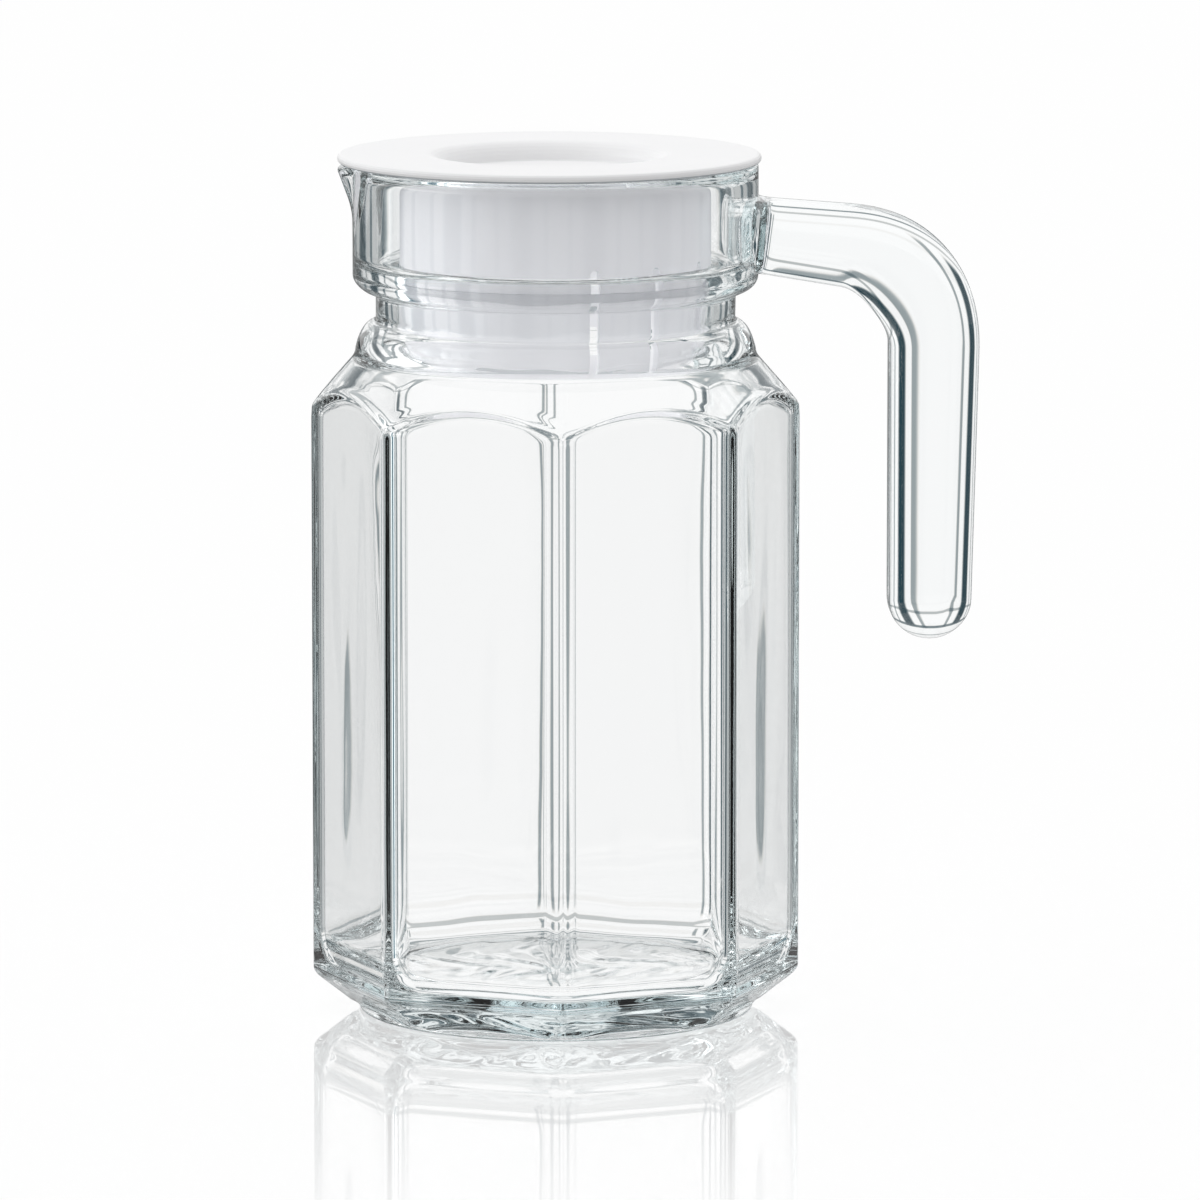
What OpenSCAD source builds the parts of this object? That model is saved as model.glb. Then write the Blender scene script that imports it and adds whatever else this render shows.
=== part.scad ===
// Glass pitcher with a plug-in lid: an octagonal jug with a round collar, a glass handle fused to the
// collar, and a white lid whose hollow plug has strainer slots. The origin is the centre of the foot
// on the resting plane, +Z is up, the handle points towards +X and the pouring beak towards -X.

/* [Jug body] */
// Width of the jug over two opposite corners
body_w = 113.2; // [108:0.2:124]
// Outside radius of the upright corners
corner_r = 3; // [2:0.5:8]
// Inside radius of the upright corners
inner_corner_r = 8.2; // [5:0.1:12]
// Thickness of the glass in the flat sides
wall = 3.8; // [3:0.1:5]
// Height of the upright corners, where the shoulder begins
corner_h = 141.7; // [125:0.1:160]
// Height of the lower edge of the flat sides
edge_h = 8.4; // [6:0.2:12]
// How far the sloping edge under the flat sides runs in
edge_in = 8.2; // [6.6:0.2:9]
// Height of the floor inside, above the resting plane
floor_h = 9.5; // [7:0.5:14]
// How far the rounding between the floor and the sides runs in
floor_round_in = 7; // [4:0.5:10]
// How far that rounding runs up the sides
floor_round_h = 10; // [6:0.5:15]

/* [Foot] */
// Diameter of the round foot
foot_d = 92; // [90.5:0.5:94]
// Height of the round foot below the sloping edge
foot_h = 1.6; // [1:0.2:3]
// Width of the ring that the jug stands on
foot_band = 6; // [3:0.5:10]
// Depth of the hollow under the foot
foot_hollow = 1.2; // [0.4:0.1:2]
// Rounding of the foot's outer edge
foot_round = 0.8; // [0.3:0.1:0.9]

/* [Shoulder and neck] */
// Rise of the shoulder from the corners to the bead
shoulder_h = 11.7; // [8:0.1:14]
// Diameter of the bead at the top of the shoulder
bead_d = 92.8; // [88:0.2:96]
// Height of the bead
bead_h = 7.6; // [5:0.2:10]
// Outside diameter of the neck
neck_d = 83.6; // [81:0.2:86]
// Height of the neck between the bead and the collar
neck_h = 7; // [4:0.2:12]
// Diameter of the bore through the neck
bore_d = 71.2; // [68:0.2:74]

/* [Collar] */
// Outside diameter of the collar
collar_d = 93.8; // [92:0.2:98]
// Height of the collar
collar_h = 30; // [27:0.5:36]
// Thickness of the collar's wall
collar_wall = 5.4; // [4.5:0.1:6.2]
// Height of the rounding under the collar
collar_round = 4; // [2:0.5:6]
// Thickness of the glass ledge inside the bottom of the collar
ledge_t = 6.5; // [5:0.1:8]
// Rounding of the rim's outer edge
rim_round = 1.2; // [0.5:0.1:1.5]
// Rounding of the rim's inner edge
mouth_round = 3.8; // [1:0.1:4]

/* [Beak] */
// How far the beak stands out from the collar
beak_out = 4.1; // [3:0.1:5]
// Radius of the beak seen from above
beak_r = 11; // [10.5:0.5:14]
// Height over which the beak grows out of the collar
beak_h = 11; // [8:0.5:15]
// Thickness of the glass round the beak's channel
beak_wall = 3.4; // [2.6:0.1:4]
// How far the lip of the beak dips below the rim
beak_dip = 1; // [0.5:0.1:2]

/* [Handle] */
// Clear gap between the jug's corner and the grip
finger_gap = 20.5; // [18:0.5:26]
// Thickness of the grip at its top, away from the jug
grip_t = 21; // [18:0.2:23]
// Thickness of the grip at its lower end
grip_end_t = 19.4; // [17:0.2:22]
// Thickness of the arm where it is fused to the collar
arm_t = 16.6; // [15:0.1:18]
// How much the handle swells in the middle of the bend
bend_swell = 2.4; // [0:0.1:3]
// Width of the handle across the jug
handle_w = 20; // [16:0.5:24]
// Rounding of the handle's long edges
handle_round = 4.8; // [3:0.2:6]
// Radius inside the bend
bend_r = 12.8; // [10:0.2:15]
// Height of the arm's middle above the bottom of the collar
arm_rise = 12.8; // [12:0.2:15]
// Slope of the arm down from the collar, in degrees
arm_tilt = 7; // [4:0.5:9]
// Length of the grip from the middle of the bend to its open lower end
grip_l = 68.8; // [50:0.2:80]

/* [Lid cover] */
// How far the cover overhangs the collar
cover_over = 2.1; // [1:0.1:4]
// How far the cover is set off from the plug, towards the beak
cover_shift = 1.4; // [0:0.1:2]
// Thickness of the cover
cover_t = 2; // [1.6:0.1:2.8]
// Radius of the round dish at the foot of its wall
dish_r = 24.5; // [17:0.5:26]
// Depth of the dish
dish_depth = 4.4; // [4:0.1:6]
// Rounding of the dish's lip
dish_lip_r = 3.9; // [2:0.1:3.9]
// Height of the spigot that the plug is snapped over
spigot_h = 5; // [3:0.5:8]
// Thickness of the spigot
spigot_t = 1.6; // [1.2:0.1:2.4]

/* [Lid plug] */
// Length of the plug below the cover
plug_h = 42.5; // [40:0.5:50]
// Thickness of the plug's lower wall
plug_wall = 2; // [1.8:0.1:2.6]
// How much thicker the plug's upper band is, which rests above the ledge
band_step = 1; // [0.8:0.1:1.8]
// Number of strainer slots
slot_n = 4; // [2:1:5]
// Width of a strainer slot
slot_w = 2.1; // [1.5:0.1:3]
// Angle between two slots, in degrees
slot_step = 24; // [20:0.5:28]
// Angle of the first slot from the front, in degrees
slot_start = 12.5; // [5:0.5:30]
// How far the slots reach above the lower edge of the upper band
slot_rise = 2.1; // [1:0.1:4]
// Angle of the pouring window from the front, on the far side from the slots, in degrees
window_turn = 235; // [205:1:250]
// Width of the pouring window
window_w = 18; // [12:0.5:20]
// Height of the pouring window
window_h = 13; // [9:0.5:14]
// Rounding of the window's corners
window_round = 3; // [1:0.5:4]

/* [Lid seal] */
// Height of the seal ring
seal_h = 1.7; // [1.2:0.1:2.4]
// Depth of the groove that the seal ring sits in
seal_groove = 1; // [0.8:0.1:1.2]
// How far the groove lies below the upper band
seal_drop = 3; // [2:0.1:6]

/* [Clearances] */
// Between the plug's lower wall and the bore, on the radius
plug_clear = 0.6; // [0.4:0.05:0.8]
// Between the seal ring and the bore, on the radius
seal_clear = 0.3; // [0.2:0.05:0.35]
// Between the seal ring and its groove
seal_play = 0.1; // [0.05:0.01:0.15]
// Between the plug's upper band and the ledge
seat_clear = 0.3; // [0.2:0.05:0.5]
// Between the cover's spigot and the plug, on the radius
spigot_clear = 0.1; // [0.05:0.05:0.2]

/* [Hidden] */
$fn = 96;

// Number of flat sides, and of straight steps in a drawn rounding
sides = 8;
round_steps = 6;
half_side = 180 / sides;
// Overrun of cuts, as a share of the wall
over_share = 0.5;
over = wall * over_share;

// Radii of the octagon and the round parts
body_r = body_w / 2;
flat_r = corner_r + (body_r - corner_r) * cos(half_side);
inner_flat_r = flat_r - wall;
foot_r = foot_d / 2;
bead_r = bead_d / 2;
neck_r = neck_d / 2;
bore_r = bore_d / 2;
collar_r = collar_d / 2;
collar_in_r = collar_r - collar_wall;

// Heights, from the resting plane up
shoulder_z = corner_h + shoulder_h;
neck_z = shoulder_z + bead_h;
collar_z = neck_z + neck_h;
ledge_z = collar_z + ledge_t;
rim_z = collar_z + collar_h;
top_z = rim_z + cover_t;

// The shoulder's slope, and the same slope inside, one wall lower
shoulder_slope = shoulder_h / (body_r - bead_r);
shoulder_drop = wall * sqrt(1 + pow(shoulder_slope, 2));

// The beak's centre, its slope, and the depth of its channel
beak_x = collar_r + beak_out - beak_r;
beak_slope = beak_out / beak_h;
channel_r = beak_r - beak_wall;
channel_low_r = (collar_in_r - beak_x) / 2;
channel_h = (channel_r - channel_low_r) / beak_slope;
root_h = beak_h + over;
// The dip in the lip is part of a wide circle, whose radius is a share of the beak's
dip_share = 2;
dip_r = beak_r * dip_share;

// The handle: middle of the bend, length of the arm into the collar's wall, and middle of the round end
grip_x = body_r + finger_gap;
bend_x = grip_x - bend_r;
bend_turn = 90 - arm_tilt;
bend_mid_r = bend_r + grip_t / 2;
bend_arm_t = (grip_t + arm_t) / 2;
arm_l = (bend_x + bend_mid_r * cos(bend_turn) - collar_r + collar_wall / 2) / cos(arm_tilt);
bend_z = collar_z + arm_rise - bend_mid_r * sin(bend_turn) - arm_l * sin(arm_tilt);
grip_end_z = bend_z - grip_l + grip_end_t / 2;
// How fast the swell fades towards both ends of the bend
swell_power = 1.5;
// Straight steps along the arm, the bend and the grip, and turn between two rings of the round end
arm_steps = 3;
bend_steps = 14;
grip_steps = 3;
end_turn = 12;

// The lid, from the collar and the bore
cover_r = collar_r + cover_over;
cover_edge_r = cover_t / 2;
dish_z = top_z - dish_depth;
dish_foot_r = dish_depth - dish_lip_r;
plug_r = bore_r - plug_clear;
plug_in_r = plug_r - plug_wall;
band_r = plug_r + band_step;
band_z = ledge_z + seat_clear;
plug_z = rim_z - plug_h;
slot_top_z = band_z + slot_rise;
window_z = slot_top_z;
spigot_r = plug_in_r - spigot_clear;
groove_r = plug_r - seal_groove;
groove_z = band_z - seal_drop - seal_h;
seal_r = bore_r - seal_clear;
seal_in_r = groove_r + seal_play;

// Points on an arc or an ellipse round c, from angle a0 to a1
function arc(c, rx, ry, a0, a1) = [
    for (i = [0 : round_steps])
        let (a = a0 + (a1 - a0) * i / round_steps)
        [c[0] + rx * cos(a), c[1] + ry * sin(a)]
];

// The outline of an octagon with rounded corners, one corner pointing along +X
function octagon(flat, r) = [
    for (k = [0 : sides - 1])
        each let (a = k * 2 * half_side, d = (flat - r) / cos(half_side))
        arc([d * cos(a), d * sin(a)], r, r, a - half_side, a + half_side)
];

// A rectangle with rounded corners, from x0 to x1 and from y0 to y1
function rounded_box(x0, x1, y0, y1, r) = concat(
    arc([x1 - r, y0 + r], r, r, -90, 0),
    arc([x1 - r, y1 - r], r, r, 0, 90),
    arc([x0 + r, y1 - r], r, r, 90, 180),
    arc([x0 + r, y0 + r], r, r, 180, 270)
);

// One ring of the handle: its middle, the direction away from the bend's middle, its thickness, and
// its shrinkage in the round end
function handle_ring(mid, turn, t, shrink) = [
    for (p = rounded_box(-t / 2, t / 2, -handle_w / 2, handle_w / 2, handle_round))
        [mid[0] + p[0] * shrink * cos(turn), p[1] * shrink, mid[1] + p[0] * shrink * sin(turn)]
];

// Thickness at a turn of the bend, which is thinner towards the arm and swells between
function bend_t(turn) =
    grip_t + (bend_arm_t - grip_t) * turn / bend_turn
    + bend_swell * pow(max(sin(180 * turn / bend_turn), 0), swell_power);

// A point beside the middle of the bend, at a distance and a turn
function from_bend(r, turn) = [bend_x + r * cos(turn), bend_z + r * sin(turn)];

// All rings, from inside the collar's wall to the lower end
function handle_rings() = concat(
    [
        for (i = [0 : arm_steps - 1])
            let (along = arm_l * (1 - i / arm_steps), mid = from_bend(bend_mid_r, bend_turn))
            handle_ring(
                mid + along * [-sin(bend_turn), cos(bend_turn)],
                bend_turn,
                bend_arm_t + (arm_t - bend_arm_t) * along / arm_l,
                1
            )
    ],
    [
        for (i = [0 : bend_steps])
            let (turn = bend_turn * (1 - i / bend_steps))
            handle_ring(from_bend(bend_mid_r, turn), turn, bend_t(turn), 1)
    ],
    [
        for (i = [1 : grip_steps])
            let (down = i / grip_steps, t = grip_t + (grip_end_t - grip_t) * down)
            handle_ring([grip_x + t / 2, bend_z + (grip_end_z - bend_z) * down], 0, t, 1)
    ],
    [
        for (a = [end_turn : end_turn : 90 - end_turn / 2])
            handle_ring(
                [grip_x + grip_end_t / 2, grip_end_z - grip_end_t / 2 * sin(a)],
                0,
                grip_end_t,
                cos(a)
            )
    ]
);

// The jug's outline in section: sides, shoulder, bead, neck and collar
function jug_outline() = concat(
    [
        [0, foot_h],
        [body_r + over, foot_h],
        [body_r + over, corner_h - over * shoulder_slope]
    ],
    arc([neck_r, shoulder_z], bead_r - neck_r, bead_h, 0, 90),
    arc([neck_r, collar_z + collar_round], collar_r - neck_r, collar_round, -90, 0),
    arc([collar_r - rim_round, rim_z - rim_round], rim_round, rim_round, 0, 90),
    [[0, rim_z]]
);

// The hollow's outline in section, up to the bore
function hollow_outline() = [
    [0, floor_h],
    [body_r, floor_h],
    [body_r, corner_h - shoulder_drop],
    [bore_r, corner_h - shoulder_drop + (body_r - bore_r) * shoulder_slope],
    [bore_r, rim_z + over],
    [0, rim_z + over]
];

// A straight prism along each flat side, whose section is given in distance from the axis and height
module along_sides(points) {
    for (k = [0 : sides - 1])
        rotate([0, 0, half_side * (2 * k + 1)])
            rotate([90, 0, 0])
                linear_extrude(height = body_w, center = true)
                    polygon(points);
}

module foot_shape() {
    rotate_extrude()
        polygon(concat(
            [[0, 0]],
            arc([foot_r - foot_round, foot_round], foot_round, foot_round, -90, 0),
            [[foot_r, edge_h], [0, edge_h]]
        ));
}

module jug_outside() {
    difference() {
        intersection() {
            linear_extrude(height = top_z)
                polygon(octagon(flat_r, corner_r));
            rotate_extrude()
                polygon(jug_outline());
        }
        // The sloping edge between the flat sides and the foot
        along_sides([
            [flat_r - edge_in, foot_h],
            [flat_r - edge_in, -over],
            [body_w, -over],
            [body_w, edge_h + (body_w - flat_r) * (edge_h - foot_h) / edge_in]
        ]);
    }
    foot_shape();
}

module jug_hollow() {
    difference() {
        intersection() {
            linear_extrude(height = rim_z)
                polygon(octagon(inner_flat_r, inner_corner_r));
            rotate_extrude()
                polygon(hollow_outline());
        }
        // The rounding between the floor and the sides
        along_sides(concat(
            arc(
                [inner_flat_r - floor_round_in, floor_h + floor_round_h],
                floor_round_in, floor_round_h, -90, 0
            ),
            [
                [inner_flat_r + over, floor_h + floor_round_h],
                [inner_flat_r + over, floor_h - over],
                [inner_flat_r - floor_round_in, floor_h - over]
            ]
        ));
    }
    // The wider space inside the collar, with a rounded rim
    rotate_extrude()
        polygon(concat(
            [[0, ledge_z], [collar_in_r, ledge_z]],
            arc([collar_in_r + mouth_round, rim_z - mouth_round], -mouth_round, mouth_round, 0, 90),
            [[collar_in_r + mouth_round, rim_z + over], [0, rim_z + over]]
        ));
}

module beak_outside() {
    translate([-beak_x, 0, rim_z - root_h])
        cylinder(h = root_h, r1 = beak_r - root_h * beak_slope, r2 = beak_r);
}

module beak_channel() {
    // The channel down the inside of the collar
    translate([-beak_x, 0, rim_z - channel_h])
        cylinder(h = channel_h + over, r1 = channel_low_r, r2 = channel_r + over * beak_slope);
    // The dip in the lip
    translate([-beak_x, 0, rim_z - beak_dip + dip_r])
        rotate([0, -90, 0])
            cylinder(h = beak_r + over, r = dip_r);
}

module jug_body() {
    color([0.86, 0.92, 0.93, 0.5])
        difference() {
            union() {
                jug_outside();
                beak_outside();
            }
            jug_hollow();
            beak_channel();
            // The hollow under the foot
            translate([0, 0, -over])
                cylinder(h = foot_hollow + over, r = foot_r - foot_band);
        }
}

// A closed solid through rings that have the same number of points
module skin(rings) {
    n = len(rings[0]);
    last = (len(rings) - 1) * n;
    polyhedron(
        points = [for (ring = rings) each ring],
        faces = concat(
            [[for (j = [0 : n - 1]) j]],
            [
                for (i = [0 : len(rings) - 2], j = [0 : n - 1])
                    [i * n + j, (i + 1) * n + j, (i + 1) * n + (j + 1) % n, i * n + (j + 1) % n]
            ],
            [[for (j = [0 : n - 1]) last + n - 1 - j]]
        )
    );
}

module handle() {
    color([0.80, 0.88, 0.90, 0.5])
        difference() {
            skin(handle_rings());
            // The fused joint follows the collar
            translate([0, 0, collar_z])
                cylinder(h = collar_h, r = collar_r);
        }
}

module lid_cover() {
    color([0.95, 0.95, 0.95]) {
        // The round top, whose underside follows the dish
        translate([-cover_shift, 0, 0])
            rotate_extrude()
                polygon(concat(
                    [[0, dish_z]],
                    arc([dish_r - dish_foot_r, dish_z + dish_foot_r], dish_foot_r, dish_foot_r, -90, 0),
                    arc([dish_r + dish_lip_r, top_z - dish_lip_r], dish_lip_r, dish_lip_r, 180, 90),
                    arc([cover_r - cover_edge_r, top_z - cover_edge_r], cover_edge_r, cover_edge_r, 90, -90),
                    [
                        [dish_r + cover_t, rim_z],
                        [dish_r + cover_t, dish_z - cover_t],
                        [0, dish_z - cover_t]
                    ]
                ));
        // The spigot, in the middle of the plug
        translate([0, 0, rim_z - spigot_h])
            difference() {
                cylinder(h = spigot_h + cover_edge_r, r = spigot_r);
                translate([0, 0, -over])
                    cylinder(h = spigot_h + cover_edge_r + 2 * over, r = spigot_r - spigot_t);
            }
    }
}

// The outline of a strainer slot, open below the plug
function slot_outline() = concat(
    [[-slot_w / 2, plug_z - over], [slot_w / 2, plug_z - over]],
    arc([0, slot_top_z - slot_w / 2], slot_w / 2, slot_w / 2, 0, 180)
);

// Cuts an outline through one side of the plug, at an angle from the front towards the handle
module through_plug(angle, points) {
    rotate([0, 0, angle])
        rotate([90, 0, 0])
            linear_extrude(height = band_r + over)
                polygon(points);
}

module lid_plug() {
    color([0.90, 0.90, 0.91])
        difference() {
            union() {
                translate([0, 0, plug_z])
                    cylinder(h = band_z - plug_z, r = plug_r);
                translate([0, 0, band_z])
                    cylinder(h = rim_z - band_z, r = band_r);
            }
            translate([0, 0, plug_z - over])
                cylinder(h = plug_h + 2 * over, r = plug_in_r);
            for (k = [0 : slot_n - 1])
                through_plug(slot_start + slot_step * k, slot_outline());
            through_plug(
                window_turn,
                rounded_box(-window_w / 2, window_w / 2, window_z, window_z + window_h, window_round)
            );
            // The groove for the seal ring
            translate([0, 0, groove_z - seal_play])
                difference() {
                    cylinder(h = seal_h + 2 * seal_play, r = band_r);
                    translate([0, 0, -over])
                        cylinder(h = seal_h + 2 * (seal_play + over), r = groove_r);
                }
        }
}

module lid_seal() {
    color([0.82, 0.84, 0.85])
        translate([0, 0, groove_z])
            difference() {
                cylinder(h = seal_h, r = seal_r);
                translate([0, 0, -over])
                    cylinder(h = seal_h + 2 * over, r = seal_in_r);
            }
}

jug_body();
handle();
lid_cover();
lid_plug();
lid_seal();
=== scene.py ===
import math

import bpy
import numpy as np
from mathutils import Euler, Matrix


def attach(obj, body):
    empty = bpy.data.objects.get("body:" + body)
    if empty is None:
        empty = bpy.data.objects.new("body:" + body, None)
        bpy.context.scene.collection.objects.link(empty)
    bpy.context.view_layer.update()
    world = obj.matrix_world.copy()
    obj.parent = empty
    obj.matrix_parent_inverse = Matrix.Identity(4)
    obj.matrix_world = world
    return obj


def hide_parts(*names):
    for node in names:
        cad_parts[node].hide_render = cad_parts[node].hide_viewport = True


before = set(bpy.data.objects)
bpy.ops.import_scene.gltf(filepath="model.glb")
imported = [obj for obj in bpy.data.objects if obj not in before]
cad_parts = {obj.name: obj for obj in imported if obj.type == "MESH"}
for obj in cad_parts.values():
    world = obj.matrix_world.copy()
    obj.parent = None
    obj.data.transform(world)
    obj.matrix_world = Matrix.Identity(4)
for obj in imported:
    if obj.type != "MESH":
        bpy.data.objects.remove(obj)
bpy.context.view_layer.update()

# Lengths are in millimetres up to the meshes, which are in metres.
MM = 0.001

# Octagonal body and its shoulder, a cone that cuts the flat sides in arches
CORNERS = 8
HALF_SIDE = math.pi / CORNERS
FLAT_R = 52.515
CORNER_ROUND = 3.0
INNER_FLAT_R = 48.72
INNER_CORNER_ROUND = 8.2
BODY_R = 56.6
CORNER_Z = 141.7
SHOULDER_SLOPE = 11.7 / 10.2
ARCH_CUT = 0.6
ARCH_SOFT = 0.8
ARCH_BEAD = 0.35
ARCH_BEAD_W = 1.1
INNER_CONE_Z = 135.2
INNER_ARCH_SOFT = 1.2

# Foot and base
FOOT_R = 46.0
FOOT_Z = 1.6
FOOT_SOFT = 0.8
FOOT_ROUND = 1.0
FOOT_HOLLOW = 1.2
FOOT_HOLLOW_R = 40.0
HOLLOW_EDGE_W = 0.8
HOLLOW_EDGE_H = 0.6
UNDERSIDE_FROM_R = 6
EDGE_R = 44.43
EDGE_SLOPE = 6.8 / 8.2
EDGE_SOFT = 1.6
FLOOR_Z = 9.5
FLOOR_ROUND = 7.0
FLOOR_ROUND_H = 10.0
FLOOR_DOME = 0.8
FLOOR_TO_ROUND = 2.2
FLOOR_WIDER = 1.04

# Bead, neck and collar
BEAD_R = 46.4
BEAD_Z = 153.4
BEAD_H = 7.6
BEAD_SOFT = 1.0
NECK_R = 41.8
NECK_FILLET = 1.2
BEAD_TO_FILLET = 1.0
COLLAR_Z = 168.0
COLLAR_R = 46.9
COLLAR_ROUND = 4.0
COLLAR_FILLET = 1.0
COLLAR_IN_R = 41.5
RIM_Z = 198.0
RIM_ROUND = 1.2
RIM_LAND = 0.3
MOUTH_ROUND = 3.8
MOUTH_SOFT = 0.5
LEDGE_Z = 174.5
LEDGE_FILLET = 1.6
LEDGE_ROUND = 1.0
BORE_R = 35.6
BORE_SOFT = 2.5

# Beak, whose centre lies on -X
BEAK_X = 40.0
BEAK_R = 11.0
CHANNEL_R = 7.6
BEAK_SLOPE = 4.1 / 11
BEAK_SOFT = 1.2
BEAK_DIP = 0.95
BEAK_DIP_R = 22.0
DIP_SOFT = 0.5
DIP_FROM_Z = 176

# Height of the low waves, and the ranges of z in which they rise and fall away; the floor's
# range is in shares of its radius
SIDE_WAVE = 0.16
SIDE_WAVE_START = (26, 44)
SIDE_WAVE_END = (141, 126)
NECK_WAVE = 0.12
NECK_WAVE_START = (154, 158)
NECK_WAVE_END = (172, 168)
FLOOR_WAVE = 0.24
FLOOR_WAVE_START = (1, 0.8)

# Handle
GRIP_X = 77.1
BEND_X = 64.3
BEND_Z = 155.26
BEND_R = 12.8
ARM_TILT = math.radians(7)
GRIP_T = 21.0
GRIP_END_T = 19.4
ARM_T = 16.6
BEND_SWELL = 2.4
SWELL_POWER = 1.5
HANDLE_W = 20.0
HANDLE_ROUND = 4.8
HANDLE_CROWN = 0.5
GRIP_END_Z = 96.16
TIP_POWER = 0.8
TIP_ROUND = 0.49
ROOT_FLARE_W = 8.0
ROOT_FLARE_T = 0.8
ROOT_FLARE_L = 1.8
ROOT_FLARE_POWER = 1.4
ROOT_IN = 4.0
SHARP_ANGLE = math.radians(50)

# Columns of the jug's grid, in degrees: from a corner, on the flats, and round the beak as
# first, end and step. Columns closer than COLUMN_GAP, in radians, become one.
NEAR_CORNER = (0, 0.3, 0.6, 0.9, 1.2, 1.5, 1.753, 2.1, 2.5, 3.0, 3.483, 4.1, 5.0)
FLAT_FROM = 6.2
FLAT_COLUMNS = 12
BEAK_COLUMNS = (-19.4, 19.5, 0.75)
COLUMN_GAP = 0.004

# Heights of the grid's rings: outside, collar, inside of the collar, bore, inside
RING_STEP = 0.45
ARCH_STEP = 0.25
INNER_STEP = 0.6
OUTER_HEIGHTS = np.concatenate([
    np.arange(FOOT_Z, 12, RING_STEP),
    np.linspace(12.4, 134, 26),
    np.arange(135, 138.4, RING_STEP),
    np.arange(138.5, 149.5, ARCH_STEP),
    np.arange(149.6, BEAD_Z + 2, RING_STEP),
])
COLLAR_HEIGHTS = np.concatenate([
    np.linspace(174, 185, 6),
    np.linspace(186, RIM_Z - RIM_ROUND, 16),
])
COLLAR_IN_HEIGHTS = np.concatenate([
    np.linspace(RIM_Z - MOUTH_ROUND - 0.2, 184, 12),
    np.linspace(183, 176.5, 5),
])
BORE_HEIGHTS = np.linspace(172, 164, 4)
INNER_HEIGHTS = np.concatenate([
    np.arange(162.5, 128, -INNER_STEP),
    np.linspace(127, FLOOR_Z + FLOOR_ROUND_H + 1, 24),
])

# Points of the handle's section: in each rounded corner, and between two corners
SECTION_CORNER = 9
SECTION_BETWEEN = (0.2, 0.4, 0.6, 0.8)

# Glass
WHITE = (1, 1, 1, 1)
GLASS_IOR = 1.51
GLASS_TINT = (0.36, 0.70, 0.74, 1)
GLASS_DENSITY = 1.9
GLASS_WAVES = {"Scale": 42.0, "Detail": 1.5, "Roughness": 0.4}
GLASS_BUMP = {"Strength": 0.05, "Distance": 0.0012}

# Plastic of the lid: the cover is solid, plug and seal let some light through
COVER_LOOK = {
    "colour": (0.93, 0.93, 0.935, 1),
    "dark": (0.88, 0.88, 0.89, 1),
    "roughness": 0.42,
    "thin": 0.0,
}
SEAL_LOOK = {
    "colour": (0.90, 0.90, 0.925, 1),
    "dark": (0.86, 0.86, 0.885, 1),
    "roughness": 0.4,
    "thin": 0.45,
}
# The plug also gets a painted glow on its inside
PLUG_LOOK = {**SEAL_LOOK, "roughness": 0.24, "gloss_level": 0.9, "painted_glow": 0.27}
PLASTIC_IOR = 1.5
PLASTIC_CLOUDS = {"Scale": 30.0, "Detail": 3.0, "Roughness": 0.5}
PLASTIC_GRAIN = {"Scale": 900.0, "Detail": 2.0}
PLASTIC_BUMP = {"Strength": 0.05, "Distance": 0.00005}
ROUGHNESS_RANGE = 0.04
THROUGH_PLASTIC = (0.95, 0.95, 0.965, 1)
# Painted shade: undersides get a darker colour that stands in for the shade of the rim; the range is of the
# normal's Z
UNDERSIDE_PAINTED_SHADE = (0.42, 0.45, 0.47, 1)
PAINTED_SHADE_RANGE = (-0.6, -0.3)
# Painted glow: the hollow plug's inside emits light that stands in for light gathered there, up to these
# distances from the axis in metres
PAINTED_GLOW_COLOUR = (1.0, 0.985, 0.95, 1)
PAINTED_GLOW_RADII = (0.0334, 0.0338)

# Dark flags of the studio, as brightness: 1 is the white of the background
FINE_FLAGS = 24
FINE_EDGES = (-0.97, -0.6)
FINE_LEVEL = 0.35
DEEP_FLAGS = 8
DEEP_EDGES = (-0.9, -0.45)
FLAG_ENDS = (0.36, 0.46)
FLAG_COLOUR = (0.02, 0.05, 0.065, 1)
FRINGES = ((0.3, (0.24, 0.29, 0.31, 1)), (0.7, (0.85, 0.84, 0.82, 1)))
REFLECTED_LEVEL = 0.5
# Dark rings, each with its height, half its width and its brightness
RINGS = (
    (-0.7, 0.05, 0.25),
    (-0.5, 0.04, 0.5),
    (-0.29, 0.035, 0.86),
    (0.1, 0.035, 0.45),
    (0.4, 0.05, 0.2),
    (0.66, 0.03, 0.4),
)
RING_CORE = 0.4

# Soft dome that lights matt surfaces, and the softbox that glossy ones show
DOME_FROM = 0.05
DOME_LOW = 0.5
DOME_HIGH = 1.15
DOME_UNDER = 0.75
DOME_UNDER_RANGE = (-0.35, 0.0)
DOME_IN_GLASS = 1.3
LEFT_RANGE = (-1.0, 0.2)
LIGHT_LEFT = 1.6
FRONT_RANGE = (-0.8, 0.8)
LIGHT_FRONT = 0.72
LIGHT_BACK = 1.15
SOFTBOX = 2.0
SOFTBOX_EDGES = (-0.88, -0.74)

# Floor, whose size and fading distances are in metres
FLOOR_HALF = 6.0
FLOOR_DOWN = 0.05
DOME_ON_FLOOR = 1.06
FLOOR_MATT = 0.14
FLOOR_MIRROR = 0.42
MIRROR_FADE = (0.05, 0.32)
MIRROR_ROUGHNESS = 0.012
FLOOR_IN_GLOSS = 0.12

# Camera
LENS = 307.95
SENSOR = 36
CLIP = (0.1, 50)
CAMERA_AT = (-59.3, -2357.3, 452)
CAMERA_TURN = (81.406, 0, -1.691)

# Light paths of the renderer
BOUNCES = 40
GLOSSY_BOUNCES = 16


def smooth_min(a, b, soft):
    near = np.maximum(soft - np.abs(a - b), 0) / soft
    return np.minimum(a, b) - near * near * soft / 4


def smooth_max(a, b, soft):
    return -smooth_min(-np.asarray(a, float), -np.asarray(b, float), soft)


def fade(value, start, end):
    """Rises smoothly from 0 at start to 1 at end."""
    share = min(max((value - start) / (end - start), 0), 1)
    return share * share * (3 - 2 * share)


def arc(cx, cz, rx, rz, start, end, steps):
    turn = np.radians(np.linspace(start, end, steps + 1))
    return [(cx + rx * math.cos(t), cz + rz * math.sin(t)) for t in turn]


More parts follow.
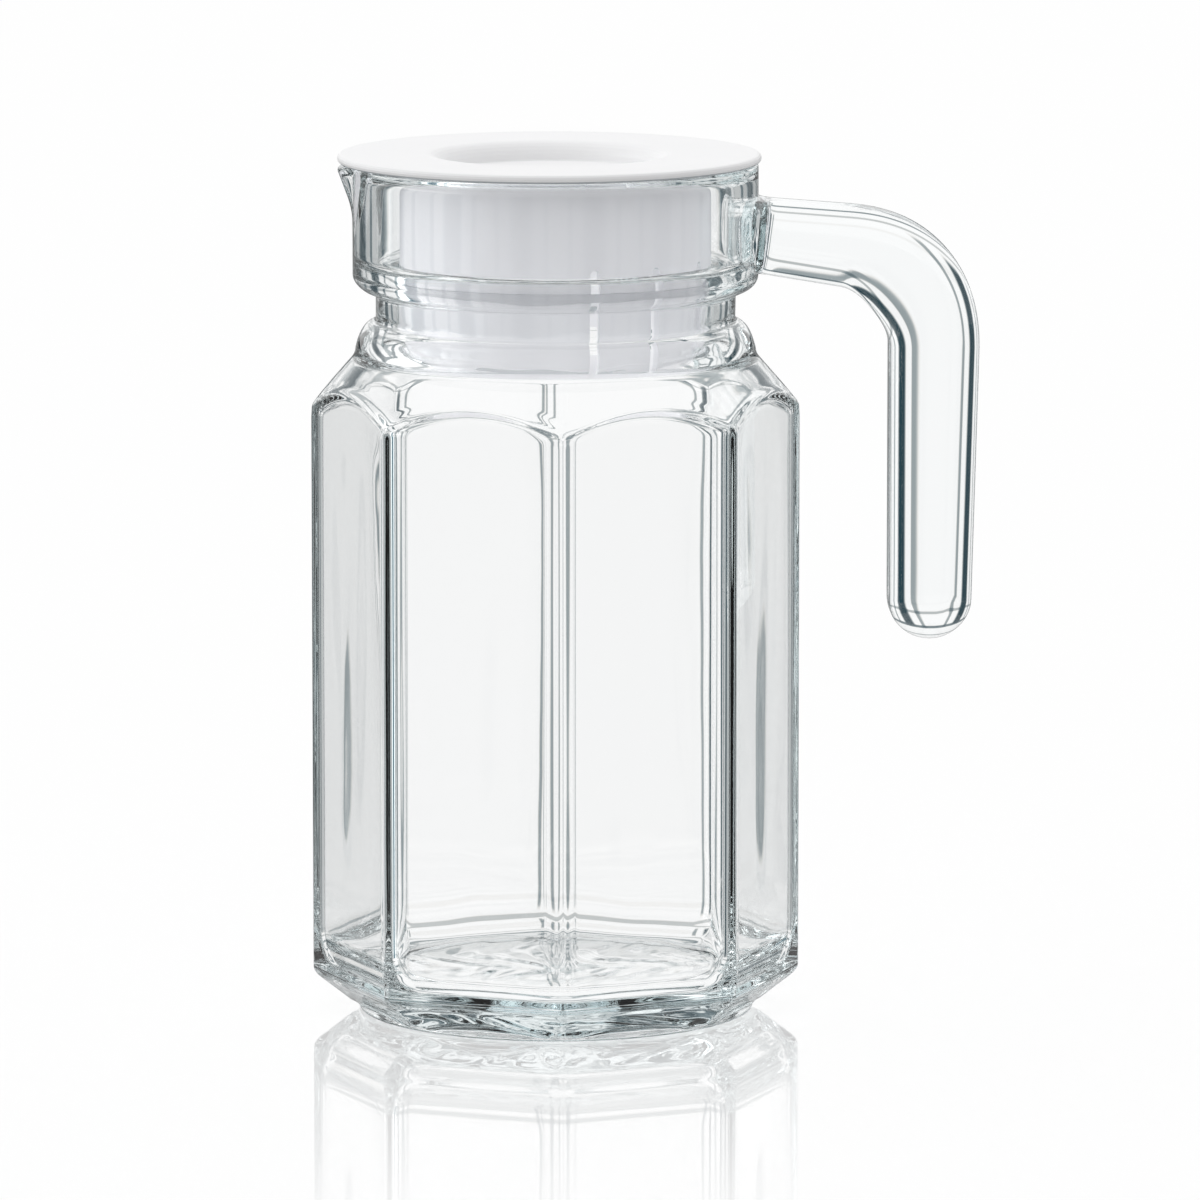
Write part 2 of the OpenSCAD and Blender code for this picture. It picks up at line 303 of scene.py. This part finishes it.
def octagon(angle, flat, rounding):
    """Radius of a rounded octagon in the given directions, with one corner along +X."""
    part = np.abs((angle + HALF_SIDE) % (2 * HALF_SIDE) - HALF_SIDE)
    centre = (flat - rounding) / math.cos(HALF_SIDE)
    tangent = np.arctan2(rounding * math.sin(HALF_SIDE), centre + rounding * math.cos(HALF_SIDE))
    on_flat = flat / np.cos(HALF_SIDE - part)
    under_root = np.maximum(rounding ** 2 - (centre * np.sin(part)) ** 2, 0)
    on_arc = centre * np.cos(part) + np.sqrt(under_root)
    return np.where(part < tangent, on_arc, on_flat)


def column_angles():
    """Directions of the grid's columns: close together round each corner, wider on the flats."""
    near = np.radians(NEAR_CORNER)
    far = np.linspace(math.radians(FLAT_FROM), HALF_SIDE, FLAT_COLUMNS)
    half = np.concatenate([near, far])
    corner = np.concatenate([-half[::-1][:-1], half[:-1]])
    corners = [corner + 2 * HALF_SIDE * k for k in range(CORNERS)]
    beak = math.pi + np.radians(np.arange(*BEAK_COLUMNS))
    angles = np.sort(np.concatenate(corners + [beak]))
    return angles[np.append(True, np.diff(angles) > COLUMN_GAP)]


def from_beak(angle):
    return np.abs(angle % (2 * math.pi) - math.pi)


def with_beak(angle, r, z, radius_at_rim):
    """Widens a ring of the collar to the beak, which narrows downwards."""
    radius = np.maximum(radius_at_rim - (RIM_Z - z) * BEAK_SLOPE, 0)
    side = BEAK_X * np.sin(from_beak(angle))
    under_root = radius ** 2 - side ** 2
    reach = BEAK_X * np.cos(from_beak(angle)) + np.sqrt(np.maximum(under_root, 0))
    reach = np.where((under_root > 0) & (from_beak(angle) < math.pi / 2), reach, 0)
    return smooth_max(r, reach, BEAK_SOFT)


def rim_dip(angle, r):
    """How far the lip of the beak dips below the rim."""
    side = r * np.sin(from_beak(angle))
    dip = BEAK_DIP - side ** 2 / (2 * BEAK_DIP_R)
    return np.where(from_beak(angle) < math.pi / 2, smooth_max(dip, 0, DIP_SOFT), 0)


def side_wave(angle, z):
    """Low waves of the blown inner surface, which run up the sides and fade out towards both ends."""
    long = np.sin(5 * angle + 0.7 + z / 38)
    short = 0.25 * np.sin(21 * angle + 1.9 + 1.1 * math.sin(z / 27))
    off_corner = (1 - np.cos(CORNERS * angle)) / 2
    height = SIDE_WAVE * fade(z, *SIDE_WAVE_START) * fade(z, *SIDE_WAVE_END)
    return height * (long + short) * off_corner


def neck_wave(angle, z):
    """Unevenness of the hand-finished neck, mostly inwards."""
    uneven = np.sin(7 * angle + 1.0 + z / 9) + 0.6 * np.sin(16 * angle + 0.4 - z / 6)
    return NECK_WAVE * fade(z, *NECK_WAVE_START) * fade(z, *NECK_WAVE_END) * (uneven - 1.2)


def floor_swirl(x, y):
    """Swirls of the blown floor, between -1 and 1."""
    across = np.sin(x / 2.1 + 1.7 * np.sin(y / 9))
    return across * np.sin(y / 6 + 1.5 * np.sin(x / 5) + 0.6)


def bead_radius(z):
    up = min((z - BEAD_Z) / BEAD_H, 1)
    return NECK_R + (BEAD_R - NECK_R) * math.sqrt(1 - up * up)


def underside_rows():
    """Hollow of the foot and standing ring."""
    yield from ((r, FOOT_HOLLOW) for r in np.linspace(UNDERSIDE_FROM_R, FOOT_HOLLOW_R - 2, 7))
    edge = (HOLLOW_EDGE_W, HOLLOW_EDGE_H)
    yield from arc(FOOT_HOLLOW_R - 1, FOOT_HOLLOW - HOLLOW_EDGE_H, *edge, 90, 0, 3)
    yield from arc(FOOT_HOLLOW_R + HOLLOW_EDGE_H, HOLLOW_EDGE_H, *edge, 180, 270, 3)
    yield from arc(FOOT_R - FOOT_ROUND, FOOT_ROUND, FOOT_ROUND, FOOT_ROUND, 270, 360, 5)


def side_rows(angle):
    """Sloping edge, sides and shoulder."""
    for z in OUTER_HEIGHTS:
        flat = smooth_min(EDGE_R + (z - FOOT_Z) / EDGE_SLOPE, FLAT_R, EDGE_SOFT)
        side = smooth_max(octagon(angle, flat, CORNER_ROUND), FOOT_R, FOOT_SOFT)
        cone = BODY_R - (z - CORNER_Z) / SHOULDER_SLOPE
        round_r = smooth_max(cone, BEAD_R if z <= BEAD_Z else bead_radius(z), BEAD_SOFT)
        strip = (side + round_r) / 2 - ARCH_CUT
        bead = ARCH_BEAD * np.exp(-((side - round_r) / ARCH_BEAD_W) ** 2)
        cut = smooth_min(side, round_r, ARCH_SOFT)
        yield smooth_min(cut, strip, ARCH_SOFT) + bead, z


def neck_rows(angle):
    """Bead, neck and the lower rounding of the collar."""
    fillet_z = BEAD_Z + BEAD_H + BEAD_TO_FILLET
    outline = [
        *arc(NECK_R, BEAD_Z, BEAD_R - NECK_R, BEAD_H, 24, 78, 12),
        *arc(NECK_R + NECK_FILLET, fillet_z, NECK_FILLET, NECK_FILLET, 250, 180, 4),
        *arc(NECK_R + COLLAR_FILLET, COLLAR_Z - COLLAR_FILLET, COLLAR_FILLET, COLLAR_FILLET, 180, 100, 4),
        *arc(NECK_R, COLLAR_Z + COLLAR_ROUND, COLLAR_R - NECK_R, COLLAR_ROUND, -72, 0, 9),
    ]
    return [(r + neck_wave(angle, z), z) for r, z in outline]


def collar_rows(angle):
    """Outside of the collar, rim and inside of the collar, with the beak."""
    outer = with_beak(angle, COLLAR_R, RIM_Z, BEAK_R)
    inner = with_beak(angle, COLLAR_IN_R, RIM_Z, CHANNEL_R)
    dip = rim_dip(angle, (outer + inner) / 2)
    mouth = smooth_min(MOUTH_ROUND, outer - inner - RIM_ROUND - RIM_LAND, MOUTH_SOFT)

    def lowered(z):
        return z - dip * np.clip((z - DIP_FROM_Z) / (RIM_Z - DIP_FROM_Z), 0, 1) ** 2

    for z in map(lowered, COLLAR_HEIGHTS):
        yield with_beak(angle, COLLAR_R, z, BEAK_R), z
    for t in np.radians(np.linspace(15, 90, 6)):
        z = RIM_Z - dip - RIM_ROUND * (1 - math.sin(t))
        yield with_beak(angle, COLLAR_R, z, BEAK_R) - RIM_ROUND * (1 - math.cos(t)), z
    for t in np.radians(np.linspace(90, 171, 10)):
        z = RIM_Z - dip - mouth * (1 - math.sin(t))
        yield with_beak(angle, COLLAR_IN_R, z, CHANNEL_R) + mouth * (1 + math.cos(t)), z
    for z in map(lowered, COLLAR_IN_HEIGHTS):
        yield with_beak(angle, COLLAR_IN_R, z, CHANNEL_R), z


def bore_rows():
    """Ledge and bore of the neck."""
    fillet = (LEDGE_FILLET, LEDGE_FILLET)
    rounding = (LEDGE_ROUND, LEDGE_ROUND)
    yield from arc(COLLAR_IN_R - LEDGE_FILLET, LEDGE_Z + LEDGE_FILLET, *fillet, -10, -90, 5)
    yield from arc(BORE_R + LEDGE_ROUND, LEDGE_Z - LEDGE_ROUND, *rounding, 90, 180, 5)
    yield from ((BORE_R, z) for z in BORE_HEIGHTS)


def inner_rows(angle):
    """Inside of the shoulder and the sides."""
    for z in INNER_HEIGHTS:
        cone = BODY_R - (z - INNER_CONE_Z) / SHOULDER_SLOPE
        cone = smooth_max(cone, BORE_R, BORE_SOFT)
        side = octagon(angle, INNER_FLAT_R, INNER_CORNER_ROUND) - side_wave(angle, z)
        yield smooth_min(side, cone, INNER_ARCH_SOFT), z


def floor_rows(angle):
    """Rounding down to the floor, then the floor, octagonal outside and round inside."""
    for t in np.radians(np.linspace(0, 84, 14)):
        flat = INNER_FLAT_R - FLOOR_ROUND * (1 - math.cos(t))
        yield octagon(angle, flat, INNER_CORNER_ROUND), FLOOR_Z + FLOOR_ROUND_H * (1 - math.sin(t))
    for share in np.linspace(0.97, 0.05, 24):
        flat = (INNER_FLAT_R - FLOOR_ROUND) * share
        blend = min(1, (1 - share) * FLOOR_TO_ROUND)
        eight = octagon(angle, flat, INNER_CORNER_ROUND * share)
        ring = eight * (1 - blend) + flat * FLOOR_WIDER * blend
        wave = FLOOR_WAVE * fade(share, *FLOOR_WAVE_START)
        swirl = floor_swirl(ring * np.cos(angle), ring * np.sin(angle))
        yield ring, FLOOR_Z + FLOOR_DOME * (1 - share ** 2) + wave * swirl


def glass_rows(angle):
    """The jug's skin as rings from the middle of the underside to the middle of the floor inside."""
    rows = [
        *underside_rows(),
        *side_rows(angle),
        *neck_rows(angle),
        *collar_rows(angle),
        *bore_rows(),
        *inner_rows(angle),
        *floor_rows(angle),
    ]
    return [[np.broadcast_to(value, angle.shape).astype(float) for value in row] for row in rows]


def mesh_object(name, points, faces):
    mesh = bpy.data.meshes.new(name)
    mesh.from_pydata((np.array(points, float) * MM).tolist(), [], faces)
    mesh.validate()
    mesh.polygons.foreach_set("use_smooth", [True] * len(mesh.polygons))
    obj = bpy.data.objects.new(name, mesh)
    bpy.context.scene.collection.objects.link(obj)
    return obj


def ring_faces(start, n, flip=False):
    """Faces between the ring of n points at start and the next one."""
    faces = []
    for j in range(n):
        k = (j + 1) % n
        face = (start + j, start + k, start + n + k, start + n + j)
        faces.append((face[0], face[3], face[2], face[1]) if flip else face)
    return faces


def ringed_mesh(name, rows, angle, low_z, high_z):
    """A closed mesh through rings round the axis, with a point in the middle at both ends."""
    n = len(angle)
    points = [(0, 0, low_z)]
    for r, z in rows:
        points.extend(zip(r * np.cos(angle), r * np.sin(angle), z))
    points.append((0, 0, high_z))
    faces = [(0, 1 + (j + 1) % n, 1 + j) for j in range(n)]
    for i in range(len(rows) - 1):
        faces.extend(ring_faces(1 + i * n, n))
    last = 1 + (len(rows) - 1) * n
    faces.extend((last + j, last + (j + 1) % n, len(points) - 1) for j in range(n))
    return mesh_object(name, points, faces)


def rounded_section(t, w, rounding):
    """A rounded rectangle with slightly crowned sides, as (across the handle, along Y) points."""
    corners = []
    for sx, sy, start in ((1, 1, 0), (-1, 1, 90), (-1, -1, 180), (1, -1, 270)):
        for turn in np.radians(np.linspace(start, start + 90, SECTION_CORNER)):
            x = sx * (t / 2 - rounding) + rounding * math.cos(turn)
            y = sy * (w / 2 - rounding) + rounding * math.sin(turn)
            corners.append((x, y))
    ring = []
    for i, p in enumerate(corners):
        ring.append(p)
        if (i + 1) % SECTION_CORNER == 0:
            q = corners[(i + 1) % len(corners)]
            ring.extend((p[0] + (q[0] - p[0]) * s, p[1] + (q[1] - p[1]) * s) for s in SECTION_BETWEEN)
    return [crowned(x, y, t, w) for x, y in ring]


def crowned(x, y, t, w):
    """Moves a point of the section so that the middles of the sides stand out."""
    push = HANDLE_CROWN * min(t / GRIP_END_T, 1)
    push_x = push * (1 - (2 * y / w) ** 2)
    push_y = push * (1 - (2 * x / t) ** 2)
    return (
        x * (1 - 2 * push / t) + math.copysign(push_x, x) * (abs(x) > t / 4),
        y * (1 - 2 * push / w) + math.copysign(push_y, y) * (abs(y) > w / 4),
    )


def arm_rings(top, turn, bend_t):
    """The arm, from inside the collar's wall to the bend, with the flare of its root."""
    length = (top[0] - COLLAR_R + ROOT_IN) / math.cos(ARM_TILT)
    near_root = np.linspace(length, length - 12, 20)
    for along in np.concatenate([near_root, np.linspace(length - 13, 2, 5)]):
        mid = (top[0] - along * math.sin(turn), top[1] + along * math.cos(turn))
        t = bend_t + (ARM_T - bend_t) * along / length
        from_root = max(length - along - ROOT_IN / 2, 0)
        flare = math.exp(-((from_root / ROOT_FLARE_L) ** ROOT_FLARE_POWER))
        yield mid, turn, t + ROOT_FLARE_T * flare, HANDLE_W + ROOT_FLARE_W * flare, HANDLE_ROUND


def bend_rings(turn_all, mid_r, bend_t, steps=32):
    """The bend, which swells in its middle."""
    for i in range(steps + 1):
        turn = turn_all * (1 - i / steps)
        share = turn / turn_all
        swell = BEND_SWELL * math.sin(math.pi * share) ** SWELL_POWER
        t = GRIP_T + (bend_t - GRIP_T) * share + swell
        mid = (BEND_X + mid_r * math.cos(turn), BEND_Z + mid_r * math.sin(turn))
        yield mid, turn, t, HANDLE_W, HANDLE_ROUND


def grip_rings(steps=14):
    """The grip, which tapers downwards from a straight inner side."""
    for i in range(1, steps + 1):
        down = i / steps
        t = GRIP_T + (GRIP_END_T - GRIP_T) * down
        mid = (GRIP_X + t / 2, BEND_Z + (GRIP_END_Z - BEND_Z) * down)
        yield mid, 0, t, HANDLE_W, HANDLE_ROUND


def tip_rings():
    """The round lower end."""
    for a in np.radians(np.linspace(6, 87, 16)):
        mid = (GRIP_X + GRIP_END_T / 2, GRIP_END_Z - GRIP_END_T / 2 * math.sin(a))
        t = GRIP_END_T * math.cos(a)
        w = HANDLE_W * math.cos(a) ** TIP_POWER
        rounding = HANDLE_ROUND + (TIP_ROUND * t - HANDLE_ROUND) * math.sin(a)
        yield mid, 0, t, w, min(rounding, TIP_ROUND * t)


def handle_mesh():
    turn_all = math.pi / 2 - ARM_TILT
    mid_r = BEND_R + GRIP_T / 2
    bend_t = (GRIP_T + ARM_T) / 2
    top = (BEND_X + mid_r * math.cos(turn_all), BEND_Z + mid_r * math.sin(turn_all))
    rings = [
        *arm_rings(top, turn_all, bend_t),
        *bend_rings(turn_all, mid_r, bend_t),
        *grip_rings(),
        *tip_rings(),
    ]
    points = []
    for mid, turn, t, w, rounding in rings:
        for x, y in rounded_section(t, w, rounding):
            points.append((mid[0] + x * math.cos(turn), y, mid[1] + x * math.sin(turn)))
    n = len(points) // len(rings)
    faces = [tuple(range(n))]
    for i in range(len(rings) - 1):
        faces.extend(ring_faces(i * n, n, flip=True))
    faces.append(tuple(reversed(range(len(points) - n, len(points)))))
    return mesh_object("handle_part", points, faces)


def fuse(body, other):
    """Replaces the body's mesh by its union with the other object, which is removed."""
    modifier = body.modifiers.new("fuse", "BOOLEAN")
    modifier.operation = "UNION"
    modifier.solver = "EXACT"
    modifier.object = other
    graph = bpy.context.evaluated_depsgraph_get()
    fused = bpy.data.meshes.new_from_object(body.evaluated_get(graph))
    body.modifiers.clear()
    old = body.data
    body.data = fused
    bpy.data.meshes.remove(old)
    bpy.data.objects.remove(other)
    fused.polygons.foreach_set("use_smooth", [True] * len(fused.polygons))
    fused.set_sharp_from_angle(angle=SHARP_ANGLE)


def empty_tree(owner):
    """The node tree of a material or a world, without its nodes."""
    owner.use_nodes = True
    owner.node_tree.nodes.clear()
    return owner.node_tree


def add_node(tree, kind, values=None, **settings):
    """Adds a node. Outputs of other nodes are linked, and other values are set on the sockets."""
    node = tree.nodes.new("ShaderNode" + kind)
    for name, value in settings.items():
        setattr(node, name, value)
    for socket, value in (values or {}).items():
        if isinstance(value, bpy.types.NodeSocket):
            tree.links.new(value, node.inputs[socket])
        else:
            node.inputs[socket].default_value = value
    return node


def math_node(tree, operation, *values):
    return add_node(tree, "Math", dict(enumerate(values)), operation=operation).outputs["Value"]


def times(tree, a, b):
    return math_node(tree, "MULTIPLY", a, b)


def over(tree, value, limit):
    """1 where the value is over the limit, and 0 elsewhere."""
    return math_node(tree, "GREATER_THAN", value, limit)


def ramp(tree, value, low, high, at_low, at_high):
    values = {"Value": value, "From Min": low, "From Max": high, "To Min": at_low, "To Max": at_high}
    return add_node(tree, "MapRange", values, interpolation_type="SMOOTHSTEP").outputs["Result"]


def blend_values(tree, share, a, b):
    """a where share is 0 and b where it is 1."""
    return add_node(tree, "Mix", {"Factor": share, "A": a, "B": b}).outputs["Result"]


def blend_colours(tree, share, a, b):
    return add_node(tree, "Mix", {"Factor": share, "A": a, "B": b}, data_type="RGBA").outputs["Result"]


def glass_material():
    material = bpy.data.materials.new("glass_clear")
    tree = empty_tree(material)
    # Fire-polished glass isn't quite flat: long, very low waves
    place = add_node(tree, "TexCoord").outputs["Object"]
    waves = add_node(tree, "TexNoise", {"Vector": place, **GLASS_WAVES})
    bump = add_node(tree, "Bump", {"Height": waves.outputs["Fac"], **GLASS_BUMP})
    shader = add_node(tree, "BsdfPrincipled", {
        "Base Color": WHITE,
        "Roughness": 0.0,
        "IOR": GLASS_IOR,
        "Transmission Weight": 1.0,
        "Normal": bump.outputs["Normal"],
    })
    volume = add_node(tree, "VolumeAbsorption", {"Color": GLASS_TINT, "Density": GLASS_DENSITY})
    add_node(tree, "OutputMaterial", {"Surface": shader.outputs["BSDF"], "Volume": volume.outputs["Volume"]})
    return material


def axis_distance(tree, place):
    split = add_node(tree, "SeparateXYZ", {"Vector": place}).outputs
    flat = add_node(tree, "CombineXYZ", {"X": split["X"], "Y": split["Y"]})
    return add_node(tree, "VectorMath", {0: flat.outputs["Vector"]}, operation="LENGTH").outputs["Value"]


def plastic_material(name, colour, dark, roughness, thin, gloss_level=0.35, painted_glow=0.0):
    material = bpy.data.materials.new(name)
    tree = empty_tree(material)
    place = add_node(tree, "TexCoord").outputs["Object"]
    clouds = add_node(tree, "TexNoise", {"Vector": place, **PLASTIC_CLOUDS}).outputs["Fac"]
    grain = add_node(tree, "TexNoise", {"Vector": place, **PLASTIC_GRAIN}).outputs["Fac"]
    tint = blend_colours(tree, clouds, dark, colour)
    # Painted shade: surfaces that face down are blended to a darker colour, standing in for the shade under
    # the rim
    facing = add_node(tree, "NewGeometry").outputs["Normal"]
    turned = add_node(tree, "SeparateXYZ", {"Vector": facing}).outputs["Z"]
    with_painted_shade = blend_colours(tree, ramp(tree, turned, *PAINTED_SHADE_RANGE, 1.0, 0.0), tint, UNDERSIDE_PAINTED_SHADE)
    gloss = add_node(tree, "MapRange", {
        "Value": clouds,
        "To Min": roughness - ROUGHNESS_RANGE,
        "To Max": roughness + ROUGHNESS_RANGE,
    })
    bump = add_node(tree, "Bump", {"Height": grain, **PLASTIC_BUMP})
    shader = add_node(tree, "BsdfPrincipled", {
        "Base Color": with_painted_shade,
        "Roughness": gloss.outputs["Result"],
        "Normal": bump.outputs["Normal"],
        "IOR": PLASTIC_IOR,
        "Specular IOR Level": gloss_level,
        # Painted glow: emission inside the plug stands in for light gathered in its hollow
        "Emission Color": PAINTED_GLOW_COLOUR,
        "Emission Strength": ramp(tree, axis_distance(tree, place), *PAINTED_GLOW_RADII, painted_glow, 0.0),
    })
    glow = add_node(tree, "BsdfTranslucent", {"Color": THROUGH_PLASTIC})
    both = add_node(tree, "MixShader", {"Fac": thin, 1: shader.outputs["BSDF"], 2: glow.outputs["BSDF"]})
    add_node(tree, "OutputMaterial", {"Surface": both.outputs["Shader"]})
    return material


def put_material(obj, material):
    obj.data.materials.clear()
    obj.data.materials.append(material)


def build_glass():
    angle = column_angles()
    rows = glass_rows(angle)
    body = ringed_mesh("jug_glass", rows, angle, FOOT_HOLLOW, FLOOR_Z + FLOOR_DOME)
    fuse(body, handle_mesh())
    put_material(body, glass_material())
    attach(body, "jug")
    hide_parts("jug_body", "handle")


def build_lid():
    put_material(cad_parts["lid_cover"], plastic_material("cover_white", **COVER_LOOK))
    put_material(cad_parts["lid_plug"], plastic_material("plug_white", **PLUG_LOOK))
    put_material(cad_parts["lid_seal"], plastic_material("seal_milky", **SEAL_LOOK))


def flags_level(tree, way, is_through, is_reflected):
    """Narrow dark flags between the main directions, low round the horizon."""
    azimuth = math_node(tree, "ARCTAN2", way["Y"], way["X"])
    fine = math_node(tree, "COSINE", times(tree, azimuth, FINE_FLAGS))
    deep = math_node(tree, "COSINE", times(tree, azimuth, DEEP_FLAGS))
    fine = ramp(tree, fine, *FINE_EDGES, FINE_LEVEL, 1.0)
    deep = ramp(tree, deep, *DEEP_EDGES, 0.0, 1.0)
    flags = math_node(tree, "MINIMUM", fine, deep)
    # Rays that haven't passed through the glass see them only below the horizon
    is_up = over(tree, way["Z"], 0.0)
    outside = math_node(tree, "SUBTRACT", 1.0, is_through)
    flags = blend_values(tree, outside, flags, blend_values(tree, is_up, flags, 1.0))
    # What the glass reflects from below is darker than what it lets through
    reflected_low = times(tree, is_reflected, math_node(tree, "SUBTRACT", 1.0, is_up))
    flags = times(tree, flags, blend_values(tree, reflected_low, 1.0, REFLECTED_LEVEL))
    off_horizon = ramp(tree, math_node(tree, "ABSOLUTE", way["Z"]), *FLAG_ENDS, 0.0, 1.0)
    return blend_values(tree, off_horizon, flags, 1.0)


def with_rings(tree, level, up, is_through):
    """Narrow dark rings, one above the other, which give the sloping parts their lines."""
    for centre, width, value in RINGS:
        away = math_node(tree, "ABSOLUTE", math_node(tree, "SUBTRACT", up, centre))
        ring = ramp(tree, away, width * RING_CORE, width, value, 1.0)
        level = times(tree, level, blend_values(tree, is_through, 1.0, ring))
    return level


def flag_colour(tree, level):
    """From the colour of the flags over that of their fringes to white."""
    colours = add_node(tree, "ValToRGB", {"Fac": level})
    stops = colours.color_ramp.elements
    stops[0].color = FLAG_COLOUR
    stops[1].color = WHITE
    for place, colour in FRINGES:
        stops.new(place).color = colour
    return colours.outputs["Color"]


def dome_level(tree, way, is_through):
    """Soft dome that matt surfaces see, brightest overhead, on the left and through the glass."""
    overhead = ramp(tree, way["Z"], DOME_FROM, 1.0, DOME_LOW, DOME_HIGH)
    is_under = ramp(tree, way["Z"], *DOME_UNDER_RANGE, 1.0, 0.0)
    dome = blend_values(tree, is_under, overhead, DOME_UNDER)
    from_left = ramp(tree, way["X"], *LEFT_RANGE, LIGHT_LEFT, 1.0)
    from_front = ramp(tree, way["Y"], *FRONT_RANGE, LIGHT_FRONT, LIGHT_BACK)
    dome = times(tree, dome, times(tree, from_left, from_front))
    return times(tree, dome, blend_values(tree, is_through, 1.0, DOME_IN_GLASS))


def build_world():
    world = bpy.data.worlds.new("studio")
    bpy.context.scene.world = world
    world.cycles.sampling_method = "NONE"
    tree = empty_tree(world)
    place = add_node(tree, "TexCoord").outputs["Generated"]
    way = add_node(tree, "SeparateXYZ", {"Vector": place}).outputs
    path = add_node(tree, "LightPath").outputs
    is_through = over(tree, path["Transmission Depth"], 0.5)
    is_reflected = over(tree, path["Glossy Depth"], 0.5)
    is_matt = over(tree, path["Diffuse Depth"], 0.5)
    # The camera and matt surfaces see plain white, and the glass sees the flags
    level = flags_level(tree, way, is_through, is_reflected)
    level = with_rings(tree, level, way["Z"], is_through)
    is_plain = math_node(tree, "MAXIMUM", is_matt, path["Is Camera Ray"])
    colour = blend_colours(tree, is_plain, flag_colour(tree, level), WHITE)
    # Reflections show a softbox on the left
    softbox = ramp(tree, way["X"], *SOFTBOX_EDGES, SOFTBOX, 0.0)
    gloss = math_node(tree, "ADD", times(tree, softbox, is_reflected), 1.0)
    strength = blend_values(tree, is_matt, gloss, dome_level(tree, way, is_through))
    background = add_node(tree, "Background", {"Color": colour, "Strength": strength})
    add_node(tree, "OutputWorld", {"Surface": background.outputs["Background"]})


def floor_material():
    """A pale sheet that glows evenly, takes a soft shadow and mirrors the jug close to it."""
    material = bpy.data.materials.new("floor_pale")
    tree = empty_tree(material)
    path = add_node(tree, "LightPath").outputs
    place = add_node(tree, "NewGeometry").outputs["Position"]
    far = add_node(tree, "VectorMath", {0: place}, operation="LENGTH").outputs["Value"]
    mirror = ramp(tree, far, *MIRROR_FADE, FLOOR_MIRROR, 0.0)
    glow = math_node(tree, "SUBTRACT", 1 - FLOOR_MATT * DOME_ON_FLOOR, mirror)
    level = blend_values(tree, path["Is Diffuse Ray"], FLOOR_IN_GLOSS, DOME_LOW)
    level = blend_values(tree, path["Is Camera Ray"], level, 1.0)
    emission = add_node(tree, "Emission", {"Strength": times(tree, glow, level)})
    glossy = add_node(tree, "BsdfGlossy", {"Roughness": MIRROR_ROUGHNESS, "Color": mirror})
    diffuse = add_node(tree, "BsdfDiffuse", {"Color": (FLOOR_MATT, FLOOR_MATT, FLOOR_MATT, 1)})
    shiny = add_node(tree, "AddShader", {0: emission.outputs["Emission"], 1: glossy.outputs["BSDF"]})
    sheet = add_node(tree, "AddShader", {0: shiny.outputs["Shader"], 1: diffuse.outputs["BSDF"]})
    # Light that has passed through the glass goes on to the flags of the studio
    clear = add_node(tree, "BsdfTransparent")
    through = add_node(tree, "MixShader", {
        "Fac": path["Is Transmission Ray"],
        1: sheet.outputs["Shader"],
        2: clear.outputs["BSDF"],
    })
    add_node(tree, "OutputMaterial", {"Surface": through.outputs["Shader"]})
    material.cycles.emission_sampling = "NONE"
    return material


def build_floor():
    mesh = bpy.data.meshes.new("floor")
    corners = [(x * FLOOR_HALF, y * FLOOR_HALF, 0) for x, y in ((-1, -1), (1, -1), (1, 1), (-1, 1))]
    mesh.from_pydata(corners, [], [(0, 1, 2, 3)])
    floor = bpy.data.objects.new("floor", mesh)
    floor.location.z = -FLOOR_DOWN * MM
    bpy.context.scene.collection.objects.link(floor)
    put_material(floor, floor_material())


def build_camera():
    data = bpy.data.cameras.new("camera")
    data.lens = LENS
    data.sensor_width = SENSOR
    data.clip_start, data.clip_end = CLIP
    camera = bpy.data.objects.new("camera", data)
    camera.location = [x * MM for x in CAMERA_AT]
    camera.rotation_euler = Euler([math.radians(turn) for turn in CAMERA_TURN])
    bpy.context.scene.collection.objects.link(camera)
    bpy.context.scene.camera = camera


def set_look():
    scene = bpy.context.scene
    scene.view_settings.view_transform = "Standard"
    scene.cycles.max_bounces = BOUNCES
    scene.cycles.transmission_bounces = BOUNCES
    scene.cycles.glossy_bounces = GLOSSY_BOUNCES
    scene.cycles.blur_glossy = 0.0


build_glass()
build_lid()
build_world()
build_floor()
build_camera()
set_look()
